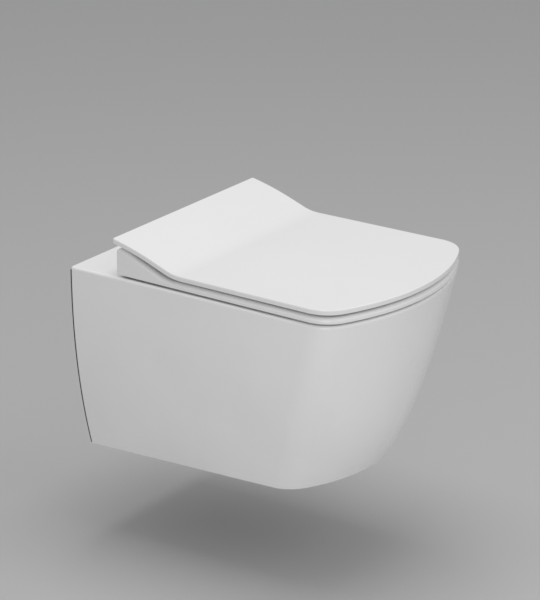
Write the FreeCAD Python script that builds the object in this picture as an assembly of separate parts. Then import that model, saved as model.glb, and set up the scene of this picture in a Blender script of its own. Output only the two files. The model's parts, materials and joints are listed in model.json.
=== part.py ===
import FreeCAD, Part
import math
import os

# Wall hung toilet: ceramic pan, hinged seat ring and hinged lid, all in millimetres.
# Origin: midway between the two wall studs, on the face of the wall.
# +Z is up, +Y points into the wall, so the front of the bowl points along -Y.

vec = FreeCAD.Vector
X_AXIS = vec(1, 0, 0)
Y_AXIS = vec(0, 1, 0)
Z_AXIS = vec(0, 0, 1)

# ---------------------------------------------------------------- pan, outside
rim_z = 80.0                # top of the rim above the wall studs
mat_thickness = 4.0         # foam mat between ceramic and wall
mat_inset = 2.0
pan_back = -mat_thickness
pan_half_width = 180.0
pan_reach = 508.0           # wall to the front of the rim
pan_height = 299.0          # rim to underside, at the wall
underside_rise = 17.6       # the underside climbs this much ...
underside_run = 430.0       # ... over this distance from the wall
corner_radius = 52.0        # plan radius between side and front
bow_radius_top = 330.0      # plan radius of the bowed front, at the rim
bow_radius_low = 225.0      # and at bow_depth below the rim
bow_depth = 275.0
side_tuck = 41.0            # how far each side curves inward over the full height
side_tuck_power = 2.2
front_tuck = 84.0           # how far the front falls back over bow_depth
front_tuck_straight = 0.68  # share of that fall that is a straight slope
wall_ceramic = 10.0
rear_wall = 16.0
rim_slab = 11.0
rim_edge_radius = 4.0
underside_edge_radius = 2.5

# ---------------------------------------------------------------- pan, inside
mouth_back = -160.0
mouth_front = -460.0
mouth_half_width = 131.0
mouth_depth = 38.0          # rim top down to the flushing ledge
mouth_draft = 2.0
mouth_edge_radius = 5.0
ledge_edge_radius = 3.0
# Bowl below the ledge: height above the studs, rear y, front y, half width.
bowl_stations = [
    (42.0, -171.0, -449.0, 120.0),
    (0.0, -174.0, -441.0, 114.0),
    (-50.0, -178.0, -417.0, 99.0),
    (-100.0, -184.0, -374.0, 76.0),
    (-150.0, -193.0, -320.0, 50.0),
    (-186.0, -206.0, -278.0, 31.0),
    (-196.0, -224.0, -258.0, 15.0),
]
bowl_squareness = 2.35      # 2 is an ellipse, more is squarer
bowl_wall = 9.0

# Trapway from sump to outlet: y, z, inner radius, slope of the run in degrees.
trap_stations = [
    (-250.0, -171.0, 24.0, 0.0),
    (-206.0, -171.0, 25.0, 4.0),
    (-168.0, -156.0, 25.5, 42.0),
    (-138.0, -120.0, 26.5, 54.0),
    (-115.0, -86.0, 28.0, 46.0),
    (-91.0, -69.0, 30.0, 3.0),
    (-67.0, -79.0, 33.0, -39.0),
    (-47.0, -95.5, 38.0, -30.0),
    (-28.0, -100.0, 41.5, -4.0),
    (-4.0, -100.0, 42.5, 0.0),
]
trap_wall = 8.0
trap_joint_y = -206.0       # the trapway is stuck to the basin here
outlet_z = -100.0
outlet_radius = 51.0
outlet_length = 40.0
outlet_recess_radius = 69.0
connector_room = 3.5        # kept clear in front of the end of the drain connector ...
connector_taper = 1.0       # ... where the outside narrows by this much

inlet_z = 35.0
inlet_radius = 27.5
inlet_length = 44.0
inlet_wall = 8.0
duct_radius = 20.0
duct_turn_y = -112.0
ledge_z = rim_z - mouth_depth
slot_half_width = 34.0      # flushing slot in the rear of the bowl
slot_low = 43.0
slot_high = 66.0
slot_wall = 8.0
slot_joint_y = -148.0       # the back wall is stuck to rim and basin here
visor_half_width = 46.0

# ---------------------------------------------------------------- wall fixing
stud_x = 90.0
stud_hole_radius = 11.0
sleeve_bore = 6.5
sleeve_radius = 10.8
sleeve_flange_radius = 16.0
sleeve_flange = 3.0
washer_radius = 18.0
washer_thickness = 3.0
nut_across_flats = 19.0
nut_height = 10.0
nut_bore = 6.05

# ---------------------------------------------------------------- seat and lid
seat_half_width = 180.5
seat_reach = 508.5
seat_rear_half_width = 176.0
seat_corner_radius = 50.0
seat_bow_radius = 330.0
seat_back = -86.0
seat_lift = 3.1             # underside of the seat above the rim
ring_thickness = 10.0
seat_edge_radius = 6.5
seat_opening_back = -214.0
seat_opening_front = -442.0
seat_opening_half_width = 112.0
seat_squareness = 2.25
opening_edge_radius = 4.0
block_start = -189.5        # the rear block starts to rise here
block_turn = 22.0           # degrees
block_sag_radius = 80.0
block_line = 54.5
block_end_turn = 9.0
block_skin = 4.5
block_pocket_front = -166.0

lid_back = -79.0
lid_top = 24.8              # flat part of the lid above the rim
lid_thickness = 7.9
lid_edge_radius = 2.0
lid_rear_half_width = 177.5
lid_corner_radius = 3.0
wave_start = -204.0         # the lid starts to rise here
wave_sag_radius = 81.0
wave_turn = 20.3            # degrees
wave_line = 26.0
wave_end_turn = 11.0

# ---------------------------------------------------------------- hinges
hinge_y = -90.0
hinge_z = rim_z + 41.5
fixing_x = 77.5             # seat fixing holes, 155 apart
fixing_y = -125.0
fixing_hole_radius = 7.0
fixing_boss_radius = 19.0
barrel_radius = 6.5
arm_inner = 61.5
arm_outer = 93.5
knuckle_inner = 37.0
knuckle_outer = 60.9
lug_inner = 94.1
lug_outer = 112.0
spindle_radius = 3.0
running_gap = 0.05
key_half_height = 2.3       # half the height across the flats of a damper shaft
damper_radius = 4.7
damper_length = 25.0
damper_bore_depth = 16.0
post_front = hinge_y - 49.0
post_rear = hinge_y - 20.6
plate_radius = 25.0
gasket_thickness = 0.8
plate_top = 2.4
arm_bevel = 0.7
bolt_radius = 4.0
bolt_head_radius = 6.5
bolt_head_height = 6.0
bolt_head_seat = 11.5
bush_end = 27.0             # bottom of the expanding bush below the rim


def place(shape, x, y, z):
    moved = shape.copy()
    moved.translate(vec(x, y, z))
    return moved


def cylinder_x(x0, x1, y, z, radius):
    return Part.makeCylinder(radius, x1 - x0, vec(x0, y, z), X_AXIS)


def cylinder_y(y0, y1, x, z, radius):
    return Part.makeCylinder(radius, y1 - y0, vec(x, y0, z), Y_AXIS)


def cylinder_z(z0, z1, x, y, radius):
    return Part.makeCylinder(radius, z1 - z0, vec(x, y, z0), Z_AXIS)


def box(x0, x1, y0, y1, z0, z1):
    return Part.makeBox(x1 - x0, y1 - y0, z1 - z0, vec(x0, y0, z0))


def both_sides(make):
    """One piece on each side of the centre line."""
    return Part.makeCompound([make(-1), make(1)])


def mirrored(shape):
    return shape.mirror(vec(0, 0, 0), X_AXIS)


def save(name, shape):
    solids = shape.Solids
    volume = sum(solid.Volume for solid in solids)
    print("%-22s solids %d  volume %.0f  valid %s" % (name, len(solids), volume, shape.isValid()))
    if len(solids) == 1:
        shape = solids[0]
    shape.exportStep("parts/%s.step" % name)


def bowed_outline(half_width, reach, corner, bow, back, z, back_half_width=None):
    """Straight back and sides, a bowed front and two round corners, as one closed wire."""
    rear = back_half_width or half_width
    lean = math.atan2(half_width - rear, reach)
    bow_y = -(reach - bow)
    corner_x = half_width - corner
    corner_y = bow_y - math.sqrt((bow - corner) ** 2 - corner_x ** 2)
    meet = math.atan2(corner_y - bow_y, corner_x)
    middle = (meet - lean) / 2
    side = vec(corner_x + corner * math.cos(lean), corner_y - corner * math.sin(lean), z)
    join = vec(bow * math.cos(meet), bow_y + bow * math.sin(meet), z)
    on_corner = vec(corner_x + corner * math.cos(middle), corner_y + corner * math.sin(middle), z)
    flip = lambda p: vec(-p.x, p.y, p.z)
    rear_right = vec(rear, back, z)
    edges = [
        Part.LineSegment(rear_right, side),
        Part.Arc(side, on_corner, join),
        Part.Arc(join, vec(0, -reach, z), flip(join)),
        Part.Arc(flip(join), flip(on_corner), flip(side)),
        Part.LineSegment(flip(side), flip(rear_right)),
        Part.LineSegment(flip(rear_right), rear_right),
    ]
    return Part.Wire([edge.toShape() for edge in edges])


def oval_wire(z, back, front, half_width, power, count=24):
    """Closed smooth oval: |x/a|^p + |y/b|^p = 1 about the middle of back and front."""
    middle = (back + front) / 2
    half_length = (back - front) / 2
    points = []
    for step in range(count):
        angle = 2 * math.pi * step / count
        cos, sin = math.cos(angle), math.sin(angle)
        x = half_width * math.copysign(abs(cos) ** (2 / power), cos)
        y = middle + half_length * math.copysign(abs(sin) ** (2 / power), sin)
        points.append(vec(x, y, z))
    curve = Part.BSplineCurve()
    curve.interpolate(Points=points, PeriodicFlag=True)
    return Part.Wire([curve.toShape()])


def fillet_where(shape, radius, wanted):
    """Round every edge whose middle point passes the test."""
    edges = []
    for edge in shape.Edges:
        middle = edge.valueAt((edge.FirstParameter + edge.LastParameter) / 2)
        if wanted(middle):
            edges.append(edge)
    return shape.makeFillet(radius, edges)


# ---------------------------------------------------------------- the pan

def pan_side(depth):
    """Half width of the pan at a depth below the rim."""
    return pan_half_width - side_tuck * (depth / pan_height) ** side_tuck_power


def pan_section(depth, inset, back):
    """Plan outline of the pan at a depth below the rim, moved inward by inset."""
    share = depth / bow_depth
    half_width = pan_side(depth)
    fall = front_tuck * (front_tuck_straight * share + (1 - front_tuck_straight) * share ** 3)
    bow = bow_radius_top + (bow_radius_low - bow_radius_top) * share
    return bowed_outline(half_width - inset, pan_reach - fall - inset, corner_radius - inset,
                         bow - inset, back, rim_z - depth)


def underside_cutter():
    """Everything below the sloping underside."""
    low = rim_z - pan_height
    far = 700.0
    front_z = low + underside_rise * far / underside_run
    corners = [vec(-300, 50, low - underside_rise * 50 / underside_run), vec(-300, -far, front_z),
               vec(-300, -far, low - 200), vec(-300, 50, low - 200)]
    face = Part.Face(Part.makePolygon(corners + corners[:1]))
    return face.extrude(vec(600, 0, 0))


def pan_outside():
    depths = [0, 50, 100, 150, 200, 250, 310]
    body = Part.makeLoft([pan_section(d, 0, pan_back) for d in depths], True)
    body = body.cut(underside_cutter())
    in_front = pan_back - 1
    body = fillet_where(body, rim_edge_radius, lambda p: p.z > rim_z - 0.1 and p.y < in_front)
    low = rim_z - pan_height
    on_underside = lambda p: abs(p.z - low + underside_rise * p.y / underside_run) < 0.2
    return fillet_where(body, underside_edge_radius, lambda p: on_underside(p) and p.y < in_front)


def inner_space():
    """The space inside the skirt, open at the underside and through to the rear face."""
    depths = [rim_slab, 60, 110, 160, 210, 260, 330]
    return Part.makeLoft([pan_section(d, wall_ceramic, pan_back + 1) for d in depths], True)


def bowl_solid(grow):
    """Space of the bowl below the ledge, or its outside when grown by the wall."""
    wires = []
    for z, back, front, half_width in bowl_stations:
        wires.append(oval_wire(z, back + grow, front - grow, half_width + grow, bowl_squareness))
    if grow:
        z, back, front, half_width = bowl_stations[-1]
        wires[-1] = oval_wire(z - grow, back + grow / 2, front - grow / 2, half_width + grow / 2,
                              bowl_squareness)
        z, back, front, half_width = bowl_stations[0]
        wires[0] = oval_wire(rim_z - 1, back + grow, front - grow, half_width + grow, bowl_squareness)
    return Part.makeLoft(wires, True)


def mouth_solid():
    """Upright sides of the mouth, from above the rim down to the ledge."""
    top = oval_wire(rim_z + 10, mouth_back, mouth_front, mouth_half_width, bowl_squareness)
    edge = oval_wire(rim_z, mouth_back, mouth_front, mouth_half_width, bowl_squareness)
    ledge = oval_wire(ledge_z, mouth_back - mouth_draft, mouth_front + mouth_draft,
                      mouth_half_width - mouth_draft, bowl_squareness)
    return Part.makeLoft([edge, ledge], True, True).fuse(Part.makeLoft([top, edge], True, True))


def basin_outside():
    """Outside of mouth, ledge and bowl in one filled solid."""
    grow = bowl_wall
    lean = bowl_wall - 5
    top = oval_wire(rim_z - 1, mouth_back + grow, mouth_front - grow, mouth_half_width + grow,
                    bowl_squareness)
    foot = oval_wire(ledge_z - grow, mouth_back + lean, mouth_front - lean, mouth_half_width + lean,
                     bowl_squareness)
    return Part.makeLoft([top, foot], True, True).fuse(bowl_solid(grow))


def trap_solid(grow):
    """Bent passage of changing bore, grown by its wall for the outside."""
    wires = []
    for y, z, radius, slope in trap_stations:
        angle = math.radians(slope)
        circle = Part.makeCircle(radius + grow, vec(0, y, z), vec(0, math.cos(angle), math.sin(angle)))
        wires.append(Part.Wire([circle]))
    return Part.makeLoft(wires, True)


def above_ledge(upper):
    """Everything above the level of the flushing ledge, or everything below it."""
    if upper:
        return box(-300, 300, -600, 50, ledge_z, rim_z + 50)
    return box(-300, 300, -600, 50, -400, ledge_z)


def flush_slot():
    return box(-slot_half_width, slot_half_width, mouth_back - 20, duct_turn_y, slot_low, slot_high)


def slot_walls(front, back):
    """Walls round the flushing slot, from front to back."""
    wide = slot_half_width + slot_wall
    return box(-wide, wide, front, back, slot_low - slot_wall, rim_z - rim_slab)


def make_body(basin_filled):
    """Skirt, rim and the upright collar of the mouth, down to the flushing ledge."""
    body = pan_outside().cut(inner_space())
    collar = basin_filled.fuse(slot_walls(mouth_back - 2, slot_joint_y))
    body = body.fuse(collar.common(above_ledge(True)))
    for side in (-1, 1):
        body = body.fuse(cylinder_z(rim_z - 24, rim_z - 2, side * fixing_x, fixing_y,
                                    fixing_boss_radius))
    body = body.cut(mouth_solid())
    body = fillet_where(body, mouth_edge_radius,
                        lambda p: p.z > rim_z - 0.01 and mouth_front - 1 < p.y < mouth_back + 1
                        and abs(p.x) < mouth_half_width + 1)
    body = body.cut(flush_slot())
    for side in (-1, 1):
        body = body.cut(cylinder_z(rim_z - 40, rim_z + 1, side * fixing_x, fixing_y,
                                   fixing_hole_radius))
    return body


def make_basin(basin_filled):
    """Ledge, bowl and sump, with the front end of the trapway and the floor of the slot."""
    below = above_ledge(False)
    ledge = bowl_stations[0]
    bowl = bowl_solid(0)
    basin = basin_filled.common(below).cut(bowl)
    basin = fillet_where(basin, ledge_edge_radius,
                         lambda p: p.z > ledge_z - 0.01 and abs(p.x) < ledge[3] + 1
                         and ledge[2] - 1 < p.y < ledge[1] + 1)
    slot_floor = slot_walls(mouth_back - 2, slot_joint_y).common(below).cut(basin_filled)
    front_of_trap = trap_solid(trap_wall).common(box(-100, 100, -300, trap_joint_y, -300, 0))
    return basin.fuse([slot_floor, front_of_trap.cut(bowl)]).cut(trap_solid(0))


def make_trapway(basin_filled):
    """Rising and falling passage behind the bowl, and the round outlet at its end."""
    tube = trap_solid(trap_wall).common(box(-100, 100, trap_joint_y, 0, -300, 0))
    start = pan_back - outlet_length
    spigot = cylinder_y(start, pan_back, 0, outlet_z, outlet_radius)
    room = cylinder_y(start - connector_room, 1, 0, outlet_z, outlet_recess_radius)
    room = room.cut(cylinder_y(start, 2, 0, outlet_z, outlet_radius))
    room = room.cut(Part.makeCone(outlet_radius - connector_taper, outlet_radius, connector_room,
                                  vec(0, start - connector_room, outlet_z), Y_AXIS))
    return tube.cut(room).fuse(spigot).cut(basin_filled).cut(trap_solid(0))


def make_back_wall():
    """Rear wall with stud holes and outlet recess, inlet boss and flushing duct."""
    plate = box(-300, 300, pan_back - rear_wall, pan_back, -400, rim_z).cut(underside_cutter())
    boss = cylinder_y(pan_back - inlet_length - inlet_wall, pan_back - 1, 0, inlet_z,
                      inlet_radius + inlet_wall)
    duct = cylinder_y(duct_turn_y - duct_radius, pan_back - 30, 0, inlet_z, duct_radius + inlet_wall)
    box_end = box(-200, 200, slot_joint_y, 1, -400, rim_z)
    parts = [boss, duct, slot_walls(slot_joint_y, duct_turn_y + 12)]
    wall = plate.multiFuse(parts).common(inner_space()).common(box_end)

    inlet = cylinder_y(pan_back - inlet_length, 1, 0, inlet_z, inlet_radius)
    supply = cylinder_y(duct_turn_y - 14, pan_back - inlet_length + 1, 0, inlet_z, duct_radius)
    wall = wall.cut(inlet.multiFuse([supply, flush_slot()]))
    wall = wall.cut(cylinder_y(pan_back - 30, 1, 0, outlet_z, outlet_recess_radius))
    for side in (-1, 1):
        wall = wall.cut(cylinder_y(-60, 1, side * stud_x, 0, stud_hole_radius))
    return wall


# ---------------------------------------------------------------- between pan and wall

def make_mat():
    """Foam mat behind the ceramic, a little smaller than its rear face."""
    depths = [rim_edge_radius + mat_inset, 60, 120, 180, 240, pan_height - mat_inset]
    right = [vec(pan_side(d) - mat_inset, pan_back, rim_z - d) for d in depths]
    left = [vec(-p.x, p.y, p.z) for p in right]
    edges = [Part.LineSegment(left[0], right[0]), Part.LineSegment(right[-1], left[-1])]
    for points in (right, left[::-1]):
        curve = Part.BSplineCurve()
        curve.interpolate(Points=points)
        edges.append(curve)
    outline = Part.Wire(Part.__sortEdges__([edge.toShape() for edge in edges]))
    mat = Part.Face(outline).extrude(vec(0, mat_thickness, 0))
    mat = mat.cut(cylinder_y(pan_back - 1, 1, 0, outlet_z, outlet_recess_radius))
    mat = mat.cut(cylinder_y(pan_back - 1, 1, 0, inlet_z, inlet_radius + 4))
    for side in (-1, 1):
        mat = mat.cut(cylinder_y(pan_back - 1, 1, side * stud_x, 0, stud_hole_radius + 1))
    return mat


sleeve_end = pan_back - rear_wall


def wall_sleeve(side):
    """Plastic sleeve that centres the ceramic on the stud, with its flange inside."""
    x = side * stud_x
    tube = cylinder_y(sleeve_end, 0, x, 0, sleeve_radius)
    flange = cylinder_y(sleeve_end - sleeve_flange, sleeve_end, x, 0, sleeve_flange_radius)
    return tube.fuse(flange).cut(cylinder_y(-60, 1, x, 0, sleeve_bore))


def wall_washer(side):
    x = side * stud_x
    start = sleeve_end - sleeve_flange
    disc = cylinder_y(start - washer_thickness, start, x, 0, washer_radius)
    return disc.cut(cylinder_y(-60, 1, x, 0, sleeve_bore))


def hexagon(across_flats, height, centre, axis):
    """Hexagonal bar with its ends bevelled as on a turned nut."""
    corner = across_flats / math.sqrt(3)
    points = []
    for step in range(7):
        angle = math.radians(60 * step + 30)
        points.append(vec(corner * math.cos(angle), corner * math.sin(angle), 0))
    bar = Part.Face(Part.makePolygon(points)).extrude(vec(0, 0, height))
    bevel = corner - across_flats / 2
    low = Part.makeCone(across_flats / 2, corner + height - bevel, height)
    high = Part.makeCone(corner + height - bevel, across_flats / 2, height)
    bar = bar.common(low).common(high)
    bar.Placement = FreeCAD.Placement(centre, FreeCAD.Rotation(Z_AXIS, axis))
    return bar


def wall_nut(side):
    x = side * stud_x
    start = sleeve_end - sleeve_flange - washer_thickness
    nut = hexagon(nut_across_flats, nut_height, vec(x, start, 0), vec(0, -1, 0))
    return nut.cut(cylinder_y(-80, 1, x, 0, nut_bore))


# ---------------------------------------------------------------- flushing

def make_distributor():
    """Plastic insert in the flushing slot: a sleeve, a parting vane and a curved visor."""
    gap = 0.4
    wall = 2.0
    wide = slot_half_width - gap
    low = slot_low + gap
    high = slot_high - gap
    back = duct_turn_y - 6
    front = mouth_back - 1
    sleeve = box(-wide, wide, front, back, low, high)
    sleeve = sleeve.cut(box(-wide + wall, wide - wall, front - 1, back + 1, low + wall, high - wall))
    visor_gap = 8.0
    ring_z = low + 3
    outer = oval_wire(ring_z, mouth_back - visor_gap, mouth_front, mouth_half_width - visor_gap,
                      bowl_squareness)
    inner = oval_wire(ring_z, mouth_back - visor_gap - wall, mouth_front,
                      mouth_half_width - visor_gap - wall, bowl_squareness)
    height = vec(0, 0, high - ring_z + 3)
    visor = Part.Face(outer).extrude(height).cut(Part.Face(inner).extrude(height))
    visor = visor.common(box(-visor_half_width, visor_half_width, mouth_back - 60, 0, 0, rim_z))
    nose = mouth_back - visor_gap - wall / 2
    plan = [vec(-1.2, back - 4, low + 1), vec(1.2, back - 4, low + 1), vec(9, nose, low + 1),
            vec(-9, nose, low + 1)]
    vane = Part.Face(Part.makePolygon(plan + plan[:1])).extrude(vec(0, 0, high - low - 2))
    vane = vane.common(box(-20, 20, nose, back, low + 1, high - 1))
    return sleeve.multiFuse([visor, vane])


# ---------------------------------------------------------------- seat and lid

def wave_solid(wave, drop, front_y, rear_y, floor_z):
    """Flat, hollow bend, straight slope and crown in side view, filled down to floor_z.

    The line is moved down by drop at right angles to itself, and runs across the full width.
    """
    flat_z, start_y, sag, turn, line, crown_turn, crown_y = wave
    turn = math.radians(turn)
    end = math.radians(crown_turn)
    sag_centre = (start_y, flat_z + sag)
    slope_y = start_y + sag * math.sin(turn) + line * math.cos(turn)
    slope_z = flat_z + sag * (1 - math.cos(turn)) + line * math.sin(turn)
    crown = (crown_y - slope_y) / (math.sin(turn) - math.sin(end))
    crown_centre = (slope_y + crown * math.sin(turn), slope_z - crown * math.cos(turn))

    def on_sag(angle):
        reach = sag + drop
        return vec(0, sag_centre[0] + reach * math.sin(angle), sag_centre[1] - reach * math.cos(angle))

    def on_crown(angle):
        reach = crown - drop
        return vec(0, crown_centre[0] - reach * math.sin(angle),
                   crown_centre[1] + reach * math.cos(angle))

    tail = on_crown(end)
    past = rear_y - tail.y
    rear_top = vec(0, rear_y, tail.z + past * math.tan(end))
    front_top = vec(0, front_y, flat_z - drop)
    front_low = vec(0, front_y, floor_z)
    rear_low = vec(0, rear_y, floor_z)
    edges = [
        Part.LineSegment(front_top, on_sag(0)),
        Part.Arc(on_sag(0), on_sag(turn / 2), on_sag(turn)),
        Part.LineSegment(on_sag(turn), on_crown(turn)),
        Part.Arc(on_crown(turn), on_crown((turn + end) / 2), tail),
        Part.LineSegment(tail, rear_top),
        Part.LineSegment(rear_top, rear_low),
        Part.LineSegment(rear_low, front_low),
        Part.LineSegment(front_low, front_top),
    ]
    face = Part.Face(Part.Wire([edge.toShape() for edge in edges]))
    return place(face.extrude(vec(500, 0, 0)), -250, 0, 0)


lid_wave = (rim_z + lid_top, wave_start, wave_sag_radius, wave_turn, wave_line, wave_end_turn, lid_back)
seat_wave = (rim_z + seat_lift + ring_thickness, block_start, block_sag_radius, block_turn,
             block_line, block_end_turn, seat_back)


def face_tilt(face):
    """Upward share of the outward normal at the middle of a face."""
    u0, u1, v0, v1 = face.ParameterRange
    return face.normalAt((u0 + u1) / 2, (v0 + v1) / 2).z


def round_border(shape, upper, lower):
    """Round where the upright sides meet the top and the underside."""
    def keys(kind):
        return {edge.hashCode() for face in shape.Faces if kind(face_tilt(face)) for edge in face.Edges}

    sides = keys(lambda tilt: abs(tilt) < 0.02)
    tops = keys(lambda tilt: tilt > 0.5)
    floors = keys(lambda tilt: tilt < -0.5)
    top_edges = [edge for edge in shape.Edges if edge.hashCode() in sides & tops]
    low_edges = [edge for edge in shape.Edges if edge.hashCode() in sides & floors]
    rounded = shape.makeFillet(upper, top_edges)
    keep = [edge.CenterOfMass for edge in low_edges]
    again = [edge for edge in rounded.Edges if any(edge.CenterOfMass.isEqual(k, 0.01) for k in keep)]
    return rounded.makeFillet(lower, again)


def keyed_bore(x0, x1):
    """Hole for the flatted end of a damper shaft."""
    hole = cylinder_x(x0, x1, hinge_y, hinge_z, spindle_radius + running_gap)
    flat = key_half_height + running_gap
    return hole.common(box(x0, x1, hinge_y - 10, hinge_y + 10, hinge_z - flat, hinge_z + flat))


def round_bore(x0, x1):
    return cylinder_x(x0, x1, hinge_y, hinge_z, spindle_radius + running_gap)


def make_seat():
    outline = bowed_outline(seat_half_width, seat_reach, seat_corner_radius, seat_bow_radius,
                            seat_back, rim_z, seat_rear_half_width)
    column = Part.Face(outline).extrude(vec(0, 0, 90))
    underside = rim_z + seat_lift
    seat = wave_solid(seat_wave, 0, -600, -50, underside).common(column)
    seat = round_border(seat, seat_edge_radius, 1.2)
    hole = oval_wire(underside - 5, seat_opening_back, seat_opening_front, seat_opening_half_width,
                     seat_squareness)
    seat = seat.cut(Part.Face(hole).extrude(vec(0, 0, 40)))
    inside = lambda p: abs(p.x) < 125 and -450 < p.y < -205
    seat = fillet_where(seat, opening_edge_radius, inside)

    # Hollow of the rear block, open below, between solid webs that carry the hinges.
    under_skin = wave_solid(seat_wave, block_skin, -400, -50, underside - 5)
    rear = seat_back - block_skin
    low = underside - 5
    top = hinge_z + 30
    seat = seat.cut(under_skin.common(box(-29, 29, block_pocket_front, rear, low, top)))
    for side in (-1, 1):
        cuts = [
            under_skin.common(box(116.5, 170.5, block_pocket_front, rear, low, top)),
            under_skin.common(box(arm_inner - 0.5, lug_inner, post_front - 2, -117, low, top)),
            box(arm_inner - 0.5, lug_inner, -118, -50, low, top),
            box(knuckle_inner - 0.6, arm_inner, hinge_y - 8.5, -50, hinge_z - 9.5, top),
            box(knuckle_inner, arm_inner - 4, block_pocket_front, rear, low, hinge_z - 14),
        ]
        for cut in cuts:
            seat = seat.cut(cut if side > 0 else mirrored(cut))
    seat = seat.cut(round_bore(lug_inner - 1, lug_outer))
    return seat.cut(mirrored(keyed_bore(lug_inner - 1, lug_outer)))


def make_lid():
    outline = bowed_outline(seat_half_width, seat_reach, seat_corner_radius, seat_bow_radius,
                            lid_back, rim_z, lid_rear_half_width)
    column = Part.Face(outline).extrude(vec(0, 0, 90))
    column = fillet_where(column, lid_corner_radius,
                          lambda p: p.y > lid_back - 1 and abs(p.x) > lid_rear_half_width - 1)
    full = wave_solid(lid_wave, 0, -600, -50, rim_z)
    lid = full.cut(wave_solid(lid_wave, lid_thickness, -601, -49, rim_z - 1)).common(column)
    lid = round_border(lid, lid_edge_radius, 0.8)
    within = wave_solid(lid_wave, lid_thickness / 2, -600, -50, rim_z)
    for side in (-1, 1):
        web = box(knuckle_inner, knuckle_outer, hinge_y - barrel_radius, hinge_y + barrel_radius,
                  hinge_z, hinge_z + 20).common(within)
        knuckle = web.fuse(cylinder_x(knuckle_inner, knuckle_outer, hinge_y, hinge_z, barrel_radius))
        lid = lid.fuse(knuckle if side > 0 else mirrored(knuckle))
    lid = lid.cut(keyed_bore(knuckle_inner + 1.5, knuckle_outer + 1))
    return lid.cut(mirrored(round_bore(knuckle_inner + 1.5, knuckle_outer + 1)))


def pad(x, y, z0, z1, half_length, half_width):
    """Oval buffer, its long way along Y."""
    body = box(x - half_width, x + half_width, y - half_length + half_width,
               y + half_length - half_width, z0, z1)
    for end in (-1, 1):
        body = body.fuse(cylinder_z(z0, z1, x, y + end * (half_length - half_width), half_width))
    return body.removeSplitter()


def make_buffers(places, z0, z1, half_length, half_width):
    pads = []
    for x, y in places:
        pads.append(pad(x, y, z0, z1, half_length, half_width))
        pads.append(pad(-x, y, z0, z1, half_length, half_width))
    return Part.makeCompound(pads)


# ---------------------------------------------------------------- hinges

def make_arm(side, damper_inside):
    """Swan-necked hinge arm: foot over the fixing hole, barrel 35 mm behind it."""
    foot_z = rim_z + plate_top
    profile = [(post_front, foot_z), (post_front, hinge_z - 24), (hinge_y - 28, hinge_z - 11.5),
               (hinge_y - 20.6, hinge_z - 1), (hinge_y - 9, hinge_z + 4), (hinge_y, hinge_z + 4),
               (hinge_y, hinge_z - 5.6), (post_rear, hinge_z - 6), (post_rear, foot_z)]
    points = [vec(arm_inner, y, z) for y, z in profile]
    arm = Part.Face(Part.makePolygon(points + points[:1])).extrude(vec(arm_outer - arm_inner, 0, 0))
    arm = arm.fuse(cylinder_x(arm_inner, arm_outer, hinge_y, hinge_z, barrel_radius)).removeSplitter()
    outer_edges = [edge for edge in arm.Edges if edge.BoundBox.XLength < 0.01
                   and edge.CenterOfMass.z > foot_z + 0.01]
    arm = arm.makeChamfer(arm_bevel, outer_edges)
    seat_of_head = rim_z + bolt_head_seat
    arm = arm.cut(cylinder_z(seat_of_head, hinge_z, fixing_x, fixing_y, bolt_head_radius + 0.3))
    arm = arm.cut(cylinder_z(rim_z, hinge_z, fixing_x, fixing_y, bolt_radius + 0.25))
    if damper_inside:
        wide, narrow = (arm_inner - 1, arm_inner + damper_length), (arm_outer - 20, arm_outer + 1)
    else:
        wide, narrow = (arm_outer - damper_length, arm_outer + 1), (arm_inner - 1, arm_inner + 20)
    arm = arm.cut(cylinder_x(*wide, hinge_y, hinge_z, damper_radius + 0.03))
    arm = arm.cut(cylinder_x(*narrow, hinge_y, hinge_z, spindle_radius + 0.03))
    return arm if side > 0 else mirrored(arm)


def make_damper(side, inside):
    """Damper cartridge in the barrel of the arm, with a blind bore for its shaft."""
    near, far = arm_inner, arm_inner + damper_length - 0.4
    bore = (near - 1, near + damper_bore_depth)
    if not inside:
        near, far = arm_outer - damper_length + 0.4, arm_outer
        bore = (far - damper_bore_depth, far + 1)
    body = cylinder_x(near, far, hinge_y, hinge_z, damper_radius)
    body = body.cut(round_bore(*bore))
    return body if side > 0 else mirrored(body)


def make_shaft(side, inside):
    """Damper shaft: round in the cartridge, flatted where it turns the lid or the seat."""
    if inside:
        turned = (arm_inner - 0.3, arm_inner + damper_bore_depth - 0.5)
        flatted = (knuckle_inner + 2, arm_inner - 0.3)
    else:
        turned = (arm_outer - damper_bore_depth + 0.5, arm_outer + 0.3)
        flatted = (arm_outer + 0.3, lug_outer - 0.5)
    shaft = cylinder_x(*turned, hinge_y, hinge_z, spindle_radius)
    end = cylinder_x(*flatted, hinge_y, hinge_z, spindle_radius)
    end = end.common(box(*flatted, hinge_y - 10, hinge_y + 10, hinge_z - key_half_height,
                         hinge_z + key_half_height))
    shaft = shaft.fuse(end)
    return shaft if side > 0 else mirrored(shaft)


def make_pin(side, inside):
    """Plain hinge pin held in the arm, with a bevelled free end."""
    start, end = (knuckle_inner + 2, arm_inner + 7.2) if inside else (arm_outer - 7.2, lug_outer - 0.5)
    pin = cylinder_x(start, end, hinge_y, hinge_z, spindle_radius)
    free_end = start if inside else end
    pin = pin.makeChamfer(0.6, [e for e in pin.Edges if abs(e.CenterOfMass.x - free_end) < 0.01
                                and e.Closed])
    return pin if side > 0 else mirrored(pin)


def ring_plate(side, z0, z1, radius, edge):
    plate = cylinder_z(z0, z1, side * fixing_x, fixing_y, radius)
    if edge:
        plate = fillet_where(plate, edge, lambda p: p.z > z1 - 0.01)
    return plate.cut(cylinder_z(z0 - 1, z1 + 1, side * fixing_x, fixing_y, bolt_radius + 0.25))


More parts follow.
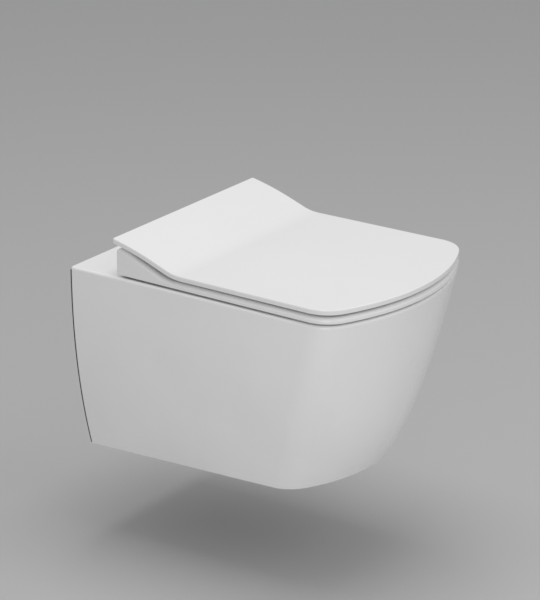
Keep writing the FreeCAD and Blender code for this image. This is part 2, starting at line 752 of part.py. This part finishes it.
def fixing_bolt(side):
    """Socket head bolt down through arm, plate and ceramic."""
    x = side * fixing_x
    head_z = rim_z + bolt_head_seat
    head = cylinder_z(head_z, head_z + bolt_head_height, x, fixing_y, bolt_head_radius)
    socket = hexagon(6, bolt_head_height, vec(x, fixing_y, head_z + 3), Z_AXIS)
    shank = cylinder_z(rim_z - 36, head_z, x, fixing_y, bolt_radius)
    return head.cut(socket).fuse(shank)


def expanding_bush(side):
    """Rubber sleeve that swells in the ceramic hole when the bolt is tightened."""
    x = side * fixing_x
    body = cylinder_z(rim_z - bush_end, rim_z - 1, x, fixing_y, fixing_hole_radius - 0.1)
    groove = cylinder_z(0, 1.5, x, fixing_y, fixing_hole_radius + 1)
    groove = groove.cut(cylinder_z(0, 1.5, x, fixing_y, fixing_hole_radius - 0.9))
    for step in range(5):
        body = body.cut(place(groove, 0, 0, rim_z - bush_end + 3 + 4 * step))
    return body.cut(cylinder_z(rim_z - 40, rim_z, x, fixing_y, bolt_radius + 0.05))


def fixing_nut(side):
    """Long nut below the bush, with a cone that spreads it."""
    x = side * fixing_x
    nut = hexagon(11, 9, vec(x, fixing_y, rim_z - bush_end), vec(0, 0, -1))
    return nut.cut(cylinder_z(rim_z - 60, rim_z, x, fixing_y, bolt_radius + 0.02))


def main():
    os.makedirs("parts", exist_ok=True)
    basin_filled = basin_outside()
    save("pan", make_body(basin_filled))
    save("pan_basin", make_basin(basin_filled))
    save("pan_trapway", make_trapway(basin_filled))
    save("pan_back_wall", make_back_wall())
    save("sound_insulation_mat", make_mat())
    save("wall_sleeves", both_sides(wall_sleeve))
    save("wall_washers", both_sides(wall_washer))
    save("wall_nuts", both_sides(wall_nut))
    save("flush_distributor", make_distributor())

    save("seat_ring", make_seat())
    save("seat_buffers", make_buffers([(150, -228), (137, -432)], rim_z, rim_z + seat_lift, 13, 7))
    save("lid", make_lid())
    save("lid_buffers", make_buffers([(150, -262), (134, -440)], rim_z + seat_lift + ring_thickness,
                                     rim_z + lid_top - lid_thickness, 10, 6))

    for side, hand in ((-1, "left"), (1, "right")):
        save(hand + "_base_gasket", ring_plate(side, rim_z, rim_z + gasket_thickness, plate_radius - 1, 0))
        save(hand + "_base_plate", ring_plate(side, rim_z + gasket_thickness, rim_z + plate_top,
                                              plate_radius, 1.2))
        save(hand + "_hinge_arm", make_arm(side, side > 0))
    save("seat_damper", make_damper(-1, False))
    save("seat_damper_shaft", make_shaft(-1, False))
    save("lid_hinge_pin", make_pin(-1, True))
    save("lid_damper", make_damper(1, True))
    save("lid_damper_shaft", make_shaft(1, True))
    save("seat_hinge_pin", make_pin(1, False))
    save("seat_fixing_bolts", both_sides(fixing_bolt))
    save("expanding_bushes", both_sides(expanding_bush))
    save("seat_fixing_nuts", both_sides(fixing_nut))


main()
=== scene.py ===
import json
import math

import bpy
import numpy as np
from mathutils import Matrix, Vector


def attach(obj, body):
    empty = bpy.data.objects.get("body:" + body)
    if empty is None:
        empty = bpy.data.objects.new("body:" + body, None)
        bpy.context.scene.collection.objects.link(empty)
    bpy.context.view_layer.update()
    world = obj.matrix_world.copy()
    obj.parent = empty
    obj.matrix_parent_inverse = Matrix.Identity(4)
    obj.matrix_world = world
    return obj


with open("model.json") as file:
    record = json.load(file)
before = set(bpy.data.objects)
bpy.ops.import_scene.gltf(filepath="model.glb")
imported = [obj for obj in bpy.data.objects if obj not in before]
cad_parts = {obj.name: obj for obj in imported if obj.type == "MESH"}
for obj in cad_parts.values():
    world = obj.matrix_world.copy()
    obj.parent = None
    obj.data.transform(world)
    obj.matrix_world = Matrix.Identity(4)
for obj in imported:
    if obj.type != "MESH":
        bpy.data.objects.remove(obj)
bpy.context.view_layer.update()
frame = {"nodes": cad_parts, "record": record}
nodes = frame["nodes"]
print("frame loaded with", len(nodes), "nodes")


# the photo's viewing angle
camera = {
    "place": (-3.3435, -2.5625, 1.5251),   # metres
    "yaw": 55.174,                         # degrees to the right of straight at the wall
    "pitch": 20.253,                       # degrees down
    "roll": -0.105,
    "lens": 174.66, "film": 36,            # mm, the film's long side
    "near": 0.1, "far": 100,
}


def makeCamera(s):
    yaw, pitch, roll = (math.radians(s[k]) for k in ("yaw", "pitch", "roll"))
    level = math.cos(pitch)
    ahead = Vector((math.sin(yaw) * level, math.cos(yaw) * level, -math.sin(pitch)))
    right = Vector((math.cos(yaw), -math.sin(yaw), 0))
    down = ahead.cross(right)
    turnedRight = math.cos(roll) * right + math.sin(roll) * down
    turnedDown = -math.sin(roll) * right + math.cos(roll) * down
    data = bpy.data.cameras.new("photoCamera")
    data.lens = s["lens"]
    data.sensor_width = s["film"]
    data.clip_start, data.clip_end = s["near"], s["far"]
    body = bpy.data.objects.new("photoCamera", data)
    axes = Matrix((turnedRight, -turnedDown, -ahead)).transposed()
    body.matrix_world = Matrix.Translation(Vector(s["place"])) @ axes.to_4x4()
    bpy.context.collection.objects.link(body)
    bpy.context.scene.camera = body


makeCamera(camera)
print("camera placed")


# each input of a node gets a link from a socket, or a fixed value
def setInputs(tree, node, values):
    for key, value in values.items():
        if isinstance(value, bpy.types.NodeSocket):
            tree.links.new(value, node.inputs[key])
        else:
            node.inputs[key].default_value = value


def addNode(tree, kind, settings=None, values=None):
    node = tree.nodes.new(kind)
    for key, value in (settings or {}).items():
        setattr(node, key, value)
    setInputs(tree, node, values or {})
    return node


def objectPlace(tree):
    return addNode(tree, "ShaderNodeTexCoord").outputs["Object"]


def noise(tree, place, scale, detail, distortion=0.0):
    node = addNode(tree, "ShaderNodeTexNoise", None, {
        "Vector": place, "Scale": scale, "Detail": detail, "Distortion": distortion})
    return node.outputs["Fac"]


# one step of arithmetic on sockets or numbers
def calc(tree, operation, *values):
    node = addNode(tree, "ShaderNodeMath", {"operation": operation}, dict(enumerate(values)))
    return node.outputs[0]


# 0 up to low, 1 from high, and a smooth step between them
def smoothStep(tree, value, low, high):
    node = addNode(tree, "ShaderNodeMapRange", {"interpolation_type": "SMOOTHSTEP"},
                   {"Value": value, "From Min": low, "From Max": high})
    return node.outputs["Result"]


# a Mix node has sockets for each kind of data: first input, second input, output
mixSockets = {"FLOAT": (2, 3, 0), "VECTOR": (4, 5, 1), "RGBA": (6, 7, 2)}


def mix(tree, kind, share, first, second):
    a, b, out = mixSockets[kind]
    node = addNode(tree, "ShaderNodeMix", {"data_type": kind}, {0: share, a: first, b: second})
    return node.outputs[out]


# relief of a height, on top of another normal if one is given
def bump(tree, height, distance, **under):
    node = addNode(tree, "ShaderNodeBump", None,
                   {"Strength": 1.0, "Distance": distance, "Height": height, **under})
    return node.outputs["Normal"]


# a shader group whose inputs and outputs are given as label and kind of socket
def makeGroup(name, inputs, outputs):
    group = bpy.data.node_groups.new(name, "ShaderNodeTree")
    for direction, sockets in (("INPUT", inputs), ("OUTPUT", outputs)):
        for label, kind in sockets.items():
            group.interface.new_socket(label, in_out=direction, socket_type="NodeSocket" + kind)
    given = group.nodes.new("NodeGroupInput").outputs
    result = group.nodes.new("NodeGroupOutput")
    return group, given, result


wavePattern = {"slowDetail": 1.0, "fineDetail": 2.0}


# slow unevenness and fine orange peel of a poured or pressed surface
def makeSurfaceWaves(s):
    group, given, result = makeGroup(
        "surfaceWaves",
        {"Slow Scale": "Float", "Slow Height": "Float",
         "Fine Scale": "Float", "Fine Height": "Float"},
        {"Normal": "Vector"})
    place = objectPlace(group)
    slow = noise(group, place, given["Slow Scale"], s["slowDetail"])
    fine = noise(group, place, given["Fine Scale"], s["fineDetail"])
    slowNormal = bump(group, slow, given["Slow Height"])
    fineNormal = bump(group, fine, given["Fine Height"], Normal=slowNormal)
    setInputs(group, result, {"Normal": fineNormal})
    return group


driftPattern = {"detail": 3.0, "low": 0.3, "high": 0.7, "speckRadius": 0.22}   # radius in cells


# slow drift between two close tones, with sparse specks of a third
def makeToneDrift(s):
    group, given, result = makeGroup(
        "toneDrift",
        {"Tone A": "Color", "Tone B": "Color", "Speck": "Color",
         "Drift Scale": "Float", "Speck Scale": "Float", "Speck Share": "Float"},
        {"Color": "Color"})
    place = objectPlace(group)
    drift = noise(group, place, given["Drift Scale"], s["detail"])
    spread = smoothStep(group, drift, s["low"], s["high"])
    cells = addNode(group, "ShaderNodeTexVoronoi", {"feature": "F1"},
                    {"Vector": place, "Scale": given["Speck Scale"]}).outputs
    pick = addNode(group, "ShaderNodeSeparateColor", None, {"Color": cells["Color"]})
    near = calc(group, "LESS_THAN", cells["Distance"], s["speckRadius"])
    rare = calc(group, "LESS_THAN", pick.outputs["Red"], given["Speck Share"])
    speck = calc(group, "MULTIPLY", near, rare)
    base = mix(group, "RGBA", spread, given["Tone A"], given["Tone B"])
    setInputs(group, result, {"Color": mix(group, "RGBA", speck, base, given["Speck"])})
    return group


smearPattern = {
    "stretch": (1.0, 0.35, 1.0), "turn": (0, 0, 0.5),     # turn in radians
    "detail": 4.0, "distortion": 0.8, "low": 0.45, "high": 0.75,
}


# faint smears left by wiping, as a change of roughness
def makeWipeMarks(s):
    group, given, result = makeGroup(
        "wipeMarks", {"Roughness": "Float", "Smear": "Float", "Scale": "Float"},
        {"Roughness": "Float"})
    drawn = addNode(group, "ShaderNodeMapping", None, {
        "Vector": objectPlace(group), "Scale": s["stretch"], "Rotation": s["turn"]})
    smear = noise(group, drawn.outputs["Vector"], given["Scale"], s["detail"], s["distortion"])
    share = smoothStep(group, smear, s["low"], s["high"])
    raised = calc(group, "MULTIPLY_ADD", share, given["Smear"], given["Roughness"])
    setInputs(group, result, {"Roughness": raised})
    return group


grainPattern = {"detail": 3.0}


# grains, pores or tool lines: a stretched noise as relief
def makeGrain(s):
    group, given, result = makeGroup(
        "grain", {"Stretch": "Vector", "Scale": "Float", "Height": "Float"}, {"Normal": "Vector"})
    drawn = addNode(group, "ShaderNodeVectorMath", {"operation": "MULTIPLY"},
                    {0: objectPlace(group), 1: given["Stretch"]})
    height = noise(group, drawn.outputs[0], given["Scale"], s["detail"])
    setInputs(group, result, {"Normal": bump(group, height, given["Height"])})
    return group


lapPattern = {"scale": 38.0, "detail": 2.0, "softness": 0.0008}


# where a cast piece has no glaze: faces turned away from a centre (towards it where Facing is -1),
# below a top, and above the lap of glaze. The underside's height is a slope times y plus a height,
# and the edge of the lap lies above that by Lap plus a noise times Ragged
def makeBareMask(s):
    group, given, result = makeGroup(
        "bareMask",
        {"Centre": "Vector", "Facing": "Float", "Top": "Float", "Under Height": "Float",
         "Under Slope": "Float", "Lap": "Float", "Ragged": "Float"},
        {"Mask": "Float"})
    coords = addNode(group, "ShaderNodeTexCoord").outputs
    place = coords["Object"]
    reach = addNode(group, "ShaderNodeVectorMath", {"operation": "SUBTRACT"},
                    {0: place, 1: given["Centre"]})
    away = addNode(group, "ShaderNodeVectorMath", {"operation": "DOT_PRODUCT"},
                   {0: coords["Normal"], 1: reach.outputs[0]})
    turned = calc(group, "MULTIPLY", away.outputs["Value"], given["Facing"])
    facing = calc(group, "GREATER_THAN", turned, 0.0)
    parts = addNode(group, "ShaderNodeSeparateXYZ", None, {0: place}).outputs
    low = calc(group, "LESS_THAN", parts["Z"], given["Top"])
    edge = noise(group, place, s["scale"], s["detail"])
    lap = calc(group, "MULTIPLY_ADD", edge, given["Ragged"], given["Lap"])
    under = calc(group, "MULTIPLY_ADD", parts["Y"], given["Under Slope"], given["Under Height"])
    rise = calc(group, "SUBTRACT", parts["Z"], calc(group, "ADD", lap, under))
    above = smoothStep(group, rise, -s["softness"], s["softness"])
    hidden = calc(group, "MULTIPLY", facing, low)
    setInputs(group, result, {"Mask": calc(group, "MULTIPLY", hidden, above)})
    return group


surfaceWaves = makeSurfaceWaves(wavePattern)
toneDrift = makeToneDrift(driftPattern)
wipeMarks = makeWipeMarks(smearPattern)
grain = makeGrain(grainPattern)
bareMask = makeBareMask(lapPattern)
print("shader groups built")


def useGroup(tree, group, values):
    return addNode(tree, "ShaderNodeGroup", {"node_tree": group}, values).outputs


def driftedTone(tree, s):
    return useGroup(tree, toneDrift, {
        "Tone A": (*s["toneA"], 1), "Tone B": (*s["toneB"], 1), "Speck": (*s["speck"], 1),
        "Drift Scale": s["driftScale"], "Speck Scale": s["speckScale"],
        "Speck Share": s["speckShare"]})["Color"]


def grainNormal(tree, s):
    return useGroup(tree, grain, {"Stretch": s["stretch"], "Scale": s["grainScale"],
                                  "Height": s["grainHeight"]})["Normal"]


smearScale = {"smooth": 12.0, "grained": 40.0}


def wipedRoughness(tree, s, kind):
    return useGroup(tree, wipeMarks, {"Roughness": s["roughness"], "Smear": s["smear"],
                                      "Scale": smearScale[kind]})["Roughness"]


def newFinish(name):
    finish = bpy.data.materials.new(name)
    finish.use_nodes = True
    tree = finish.node_tree
    return finish, tree, tree.nodes["Principled BSDF"]


# tone drift, waves and wipe marks
def smoothLook(tree, s):
    waves = useGroup(tree, surfaceWaves, {
        "Slow Scale": s["slowScale"], "Slow Height": s["slowHeight"],
        "Fine Scale": s["fineScale"], "Fine Height": s["fineHeight"]})
    return {"Base Color": driftedTone(tree, s), "Normal": waves["Normal"],
            "Roughness": wipedRoughness(tree, s, "smooth")}


# a smooth surface under a clear top layer
def smoothFinish(name, s):
    finish, tree, shader = newFinish(name)
    setInputs(tree, shader, {**smoothLook(tree, s), "IOR": s["ior"], "Coat Weight": s["coat"],
                             "Coat Roughness": s["coatRoughness"]})
    return finish


# glazed ceramic whose hidden faces are left as fired clay
def castFinish(name, s, clay, mask):
    finish, tree, shader = newFinish(name)
    glazed = smoothLook(tree, s)
    bare = useGroup(tree, bareMask, mask)["Mask"]
    setInputs(tree, shader, {
        "Base Color": mix(tree, "RGBA", bare, glazed["Base Color"], driftedTone(tree, clay)),
        "Normal": mix(tree, "VECTOR", bare, glazed["Normal"], grainNormal(tree, clay)),
        "Roughness": mix(tree, "FLOAT", bare, glazed["Roughness"], clay["roughness"]),
        "Coat Weight": calc(tree, "MULTIPLY_ADD", bare, -s["coat"], s["coat"]),
        "IOR": s["ior"], "Coat Roughness": s["coatRoughness"]})
    return finish


# a grained surface: clay, rubber, foam, moulded plastic or metal
def grainedFinish(name, s):
    finish, tree, shader = newFinish(name)
    setInputs(tree, shader, {
        "Base Color": driftedTone(tree, s), "Normal": grainNormal(tree, s),
        "Roughness": wipedRoughness(tree, s, "grained"), "Metallic": s["metallic"]})
    return finish


# scales are in waves or cells to the metre, heights in metres
glaze = {
    "toneA": (0.84, 0.84, 0.835), "toneB": (0.80, 0.805, 0.80), "speck": (0.55, 0.54, 0.50),
    "driftScale": 5.0, "speckScale": 420.0, "speckShare": 0.0012,
    "slowScale": 7.0, "slowHeight": 0.0012, "fineScale": 240.0, "fineHeight": 0.000006,
    "roughness": 0.16, "smear": 0.05, "ior": 1.52, "coat": 0.9, "coatRoughness": 0.04,
}
duroplast = {
    "toneA": (0.806, 0.806, 0.802), "toneB": (0.788, 0.788, 0.784), "speck": (0.74, 0.74, 0.73),
    "driftScale": 3.0, "speckScale": 600.0, "speckShare": 0.002,
    "slowScale": 5.0, "slowHeight": 0.0002, "fineScale": 700.0, "fineHeight": 0.000004,
    "roughness": 0.20, "smear": 0.05, "ior": 1.48, "coat": 0.4, "coatRoughness": 0.08,
}
firedClay = {
    "toneA": (0.74, 0.715, 0.67), "toneB": (0.68, 0.655, 0.61), "speck": (0.52, 0.46, 0.40),
    "driftScale": 12.0, "speckScale": 500.0, "speckShare": 0.012,
    "stretch": (1, 1, 1), "grainScale": 520.0, "grainHeight": 0.00012,
    "roughness": 0.78, "smear": 0.04, "metallic": 0.0,
}
mouldedWhite = {
    "toneA": (0.78, 0.78, 0.77), "toneB": (0.74, 0.74, 0.73), "speck": (0.68, 0.68, 0.66),
    "driftScale": 20.0, "speckScale": 900.0, "speckShare": 0.01,
    "stretch": (1, 1, 1), "grainScale": 900.0, "grainHeight": 0.00003,
    "roughness": 0.38, "smear": 0.08, "metallic": 0.0,
}
whiteRubber = {
    "toneA": (0.70, 0.70, 0.68), "toneB": (0.64, 0.64, 0.62), "speck": (0.5, 0.5, 0.48),
    "driftScale": 30.0, "speckScale": 1200.0, "speckShare": 0.02,
    "stretch": (1, 1, 1), "grainScale": 1400.0, "grainHeight": 0.00005,
    "roughness": 0.62, "smear": 0.1, "metallic": 0.0,
}
blackRubber = {
    "toneA": (0.030, 0.030, 0.032), "toneB": (0.045, 0.045, 0.046), "speck": (0.12, 0.12, 0.12),
    "driftScale": 30.0, "speckScale": 1500.0, "speckShare": 0.03,
    "stretch": (1, 1, 1), "grainScale": 1500.0, "grainHeight": 0.00006,
    "roughness": 0.6, "smear": 0.15, "metallic": 0.0,
}
# near-black mat: partly the foam's own dark colour, partly painted shade standing in for the shadow in
# the gap between the pan and the wall
matFoamWithGapShade = {
    "toneA": (0.055, 0.057, 0.060), "toneB": (0.085, 0.087, 0.090), "speck": (0.02, 0.02, 0.02),
    "driftScale": 14.0, "speckScale": 700.0, "speckShare": 0.45,
    "stretch": (1, 1, 1), "grainScale": 650.0, "grainHeight": 0.0004,
    "roughness": 0.88, "smear": 0.05, "metallic": 0.0,
}
mouldedGrey = {
    "toneA": (0.26, 0.27, 0.28), "toneB": (0.22, 0.225, 0.235), "speck": (0.35, 0.35, 0.36),
    "driftScale": 25.0, "speckScale": 1000.0, "speckShare": 0.02,
    "stretch": (1, 1, 1), "grainScale": 1100.0, "grainHeight": 0.00004,
    "roughness": 0.42, "smear": 0.1, "metallic": 0.0,
}
polishedChrome = {
    "toneA": (0.74, 0.75, 0.77), "toneB": (0.70, 0.71, 0.73), "speck": (0.5, 0.5, 0.5),
    "driftScale": 40.0, "speckScale": 1500.0, "speckShare": 0.004,
    "stretch": (1, 1, 1), "grainScale": 300.0, "grainHeight": 0.00002,
    "roughness": 0.08, "smear": 0.1, "metallic": 1.0,
}
stainless = {
    "toneA": (0.60, 0.60, 0.59), "toneB": (0.54, 0.54, 0.53), "speck": (0.4, 0.4, 0.4),
    "driftScale": 50.0, "speckScale": 1500.0, "speckShare": 0.01,
    "stretch": (14, 1, 1), "grainScale": 220.0, "grainHeight": 0.00003,    # lines round the hinge pins
    "roughness": 0.26, "smear": 0.12, "metallic": 1.0,
}
zincPlate = {
    "toneA": (0.62, 0.64, 0.66), "toneB": (0.54, 0.55, 0.55), "speck": (0.75, 0.74, 0.68),
    "driftScale": 90.0, "speckScale": 800.0, "speckShare": 0.08,
    "stretch": (1, 1, 1), "grainScale": 500.0, "grainHeight": 0.00005,
    "roughness": 0.34, "smear": 0.15, "metallic": 1.0,
}

# the pan is bare inside the skirt, the basin on its whole outside, below the glaze's lap as well
skirtEdge = {"Under Height": -0.219, "Under Slope": -0.0409, "Ragged": 0.006}
panBare = {"Centre": (0, -0.25, 0), "Facing": -1.0, "Top": 0.041, "Lap": 0.012, **skirtEdge}
basinBare = {"Centre": (0, -0.3, 0.080), "Facing": 1.0, "Top": 1.0, "Lap": -0.2, **skirtEdge}

# sections of the ceramic, by node
ceramics = {
    "pan": castFinish("panGlazed", glaze, firedClay, panBare),
    "pan_basin": castFinish("pan_basinGlazed", glaze, firedClay, basinBare),
    "pan_trapway": grainedFinish("pan_trapwayBare", firedClay),
    "pan_back_wall": grainedFinish("pan_back_wallBare", firedClay),
}
# the other finishes, by material slot of the record
finishes = {
    "white_duroplast": smoothFinish("whiteDuroplast", duroplast),
    "white_plastic": grainedFinish("mouldedWhite", mouldedWhite),
    "white_rubber": grainedFinish("whiteRubber", whiteRubber),
    "black_rubber": grainedFinish("blackRubber", blackRubber),
    # the mat's near-black tone is partly painted shade for the gap at the wall
    "grey_foam": grainedFinish("matFoamWithGapShade", matFoamWithGapShade),
    "grey_plastic": grainedFinish("mouldedGrey", mouldedGrey),
    "chrome": grainedFinish("polishedChrome", polishedChrome),
    "stainless_steel": grainedFinish("stainless", stainless),
    "zinc_steel": grainedFinish("zincPlate", zincPlate),
}
for row in frame["record"]["subparts"]:
    finish = ceramics.get(row["node"]) or finishes[row["material_slot"]]
    for holder in nodes[row["node"]].material_slots:
        holder.material = finish
print("finishes assigned")


# skin of the seat's rear block, over the two openings beside the hinges
blockSkin = {
    "across": (0.037, 0.0575),         # metres from the centre line
    "along": (-0.166, -0.1263),
    "flatHeight": 0.0931, "bendStart": -0.1895, "bendRadius": 0.080,
    "slope": 22.0,                     # degrees
    "thickness": 0.0045, "ceiling": 0.1075, "stations": 40,
}


# height of the block's side view line, moved down at right angles to itself by drop:
# flat height plus radius, less the root of (radius + drop) squared minus the run squared,
# up to the end of the bend, and from there a straight line at the slope
def blockLine(along, drop, s):
    turn = math.radians(s["slope"])
    reach = s["bendRadius"] + drop
    centre = s["flatHeight"] + s["bendRadius"]
    run = along - s["bendStart"]
    bend = centre - np.sqrt(np.maximum(reach ** 2 - run ** 2, 0))
    line = centre - reach * math.cos(turn) + (run - reach * math.sin(turn)) * math.tan(turn)
    return np.where(run < reach * math.sin(turn), bend, line)


# two closed shells, each between four lines along the block: upper left, upper right, lower left
# and lower right. A point is (edge across, station along, height of its line at that station)
def makeBlockSkin(s):
    along = np.linspace(*s["along"], s["stations"])
    upper = np.minimum(blockLine(along, 0.0, s), s["ceiling"])
    lower = blockLine(along, s["thickness"], s)
    neighbours = ((0, 1), (3, 2), (2, 0), (1, 3))     # top, bottom and both sides, facing out
    firstEnd = np.array([0, 2, 3, 1])
    count = len(along)
    step = np.arange(count - 1)
    points, faces = [], []
    for mirror in (1, -1):
        start = len(points)
        for height in (upper, lower):
            for x in sorted(mirror * edge for edge in s["across"]):
                points.append(np.stack([np.full_like(along, x), along, height], axis=1))
        for a, b in neighbours:
            first, second = (start + a) * count + step, (start + b) * count + step
            faces.append(np.stack([first, second, second + 1, first + 1], axis=1))
        end = (start + firstEnd) * count
        faces.append(end[None, :])
        faces.append(end[None, ::-1] + count - 1)
    mesh = bpy.data.meshes.new("seatBlockSkin")
    mesh.from_pydata(np.concatenate(points).tolist(), [], np.concatenate(faces).tolist())
    mesh.materials.append(finishes["white_duroplast"])
    skin = bpy.data.objects.new("seatBlockSkin", mesh)
    bpy.context.collection.objects.link(skin)
    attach(skin, "seat_body")


makeBlockSkin(blockSkin)
print("seat block skin made")


floorSettings = {
    "height": -0.365, "reach": 30.0,
    "lights": (0.56, 0.56, 0.565),     # its tone as it lights the object
    "shows": (0.46, 0.46, 0.465),      # its tone to the camera and in gloss
    "cloudScale": 1.5, "cloudDetail": 3.0, "cloudShade": 0.985,
    "roughness": 0.9, "gloss": 0.1,
}


def makeFloor(s):
    reach = s["reach"]
    corners = [(-reach, -reach), (reach, -reach), (reach, reach), (-reach, reach)]
    mesh = bpy.data.meshes.new("floor")
    mesh.from_pydata([(x, y, s["height"]) for x, y in corners], [], [(0, 1, 2, 3)])
    floor = bpy.data.objects.new("floor", mesh)
    bpy.context.collection.objects.link(floor)
    finish, tree, shader = newFinish("paleFloor")
    cloud = noise(tree, objectPlace(tree), s["cloudScale"], s["cloudDetail"])
    shaded = (*[c * s["cloudShade"] for c in s["shows"]], 1)
    shows = mix(tree, "RGBA", cloud, (*s["shows"], 1), shaded)
    ray = addNode(tree, "ShaderNodeLightPath").outputs
    mirrored = calc(tree, "MAXIMUM", ray["Is Glossy Ray"], ray["Is Transmission Ray"])
    direct = calc(tree, "MAXIMUM", ray["Is Camera Ray"], mirrored)
    setInputs(tree, shader, {
        "Base Color": mix(tree, "RGBA", direct, (*s["lights"], 1), shows),
        "Roughness": s["roughness"], "Specular IOR Level": s["gloss"]})
    # seen from below, the floor is clear
    clear = addNode(tree, "ShaderNodeBsdfTransparent").outputs["BSDF"]
    below = addNode(tree, "ShaderNodeNewGeometry").outputs["Backfacing"]
    mixed = addNode(tree, "ShaderNodeMixShader", None,
                    {0: below, 1: shader.outputs["BSDF"], 2: clear})
    setInputs(tree, tree.nodes["Material Output"], {"Surface": mixed.outputs["Shader"]})
    mesh.materials.append(finish)


makeFloor(floorSettings)
print("floor made")


sky = {"color": (1.0, 1.0, 1.0), "strength": 0.567}
lampAim = (0, -0.25, 0)
lamps = {
    "key": {"place": (0, -0.25, 3.2), "size": 2.0, "watts": 43.0, "inGloss": False},
    "front": {"place": (0.3, -2.6, 1.2), "size": 3.1, "watts": 12.6, "inGloss": True},
    "side": {"place": (-1.0, -0.9, 0.1), "size": 0.5, "watts": 1.65, "inGloss": True},
}


def makeSky(s):
    world = bpy.data.worlds.new("studio")
    world.use_nodes = True
    setInputs(world.node_tree, world.node_tree.nodes["Background"],
              {"Color": (*s["color"], 1), "Strength": s["strength"]})
    bpy.context.scene.world = world


def makeLamp(name, s):
    data = bpy.data.lights.new(name, "AREA")
    data.size = s["size"]
    data.energy = s["watts"]
    lamp = bpy.data.objects.new(name, data)
    lamp.visible_glossy = s["inGloss"]
    lamp.location = s["place"]
    aim = Vector(lampAim) - Vector(s["place"])
    lamp.rotation_euler = aim.to_track_quat("-Z", "Y").to_euler()
    bpy.context.collection.objects.link(lamp)


makeSky(sky)
for name, settings in lamps.items():
    makeLamp(name, settings)
bpy.context.scene.view_settings.view_transform = "Standard"
print("sky and lamps made")
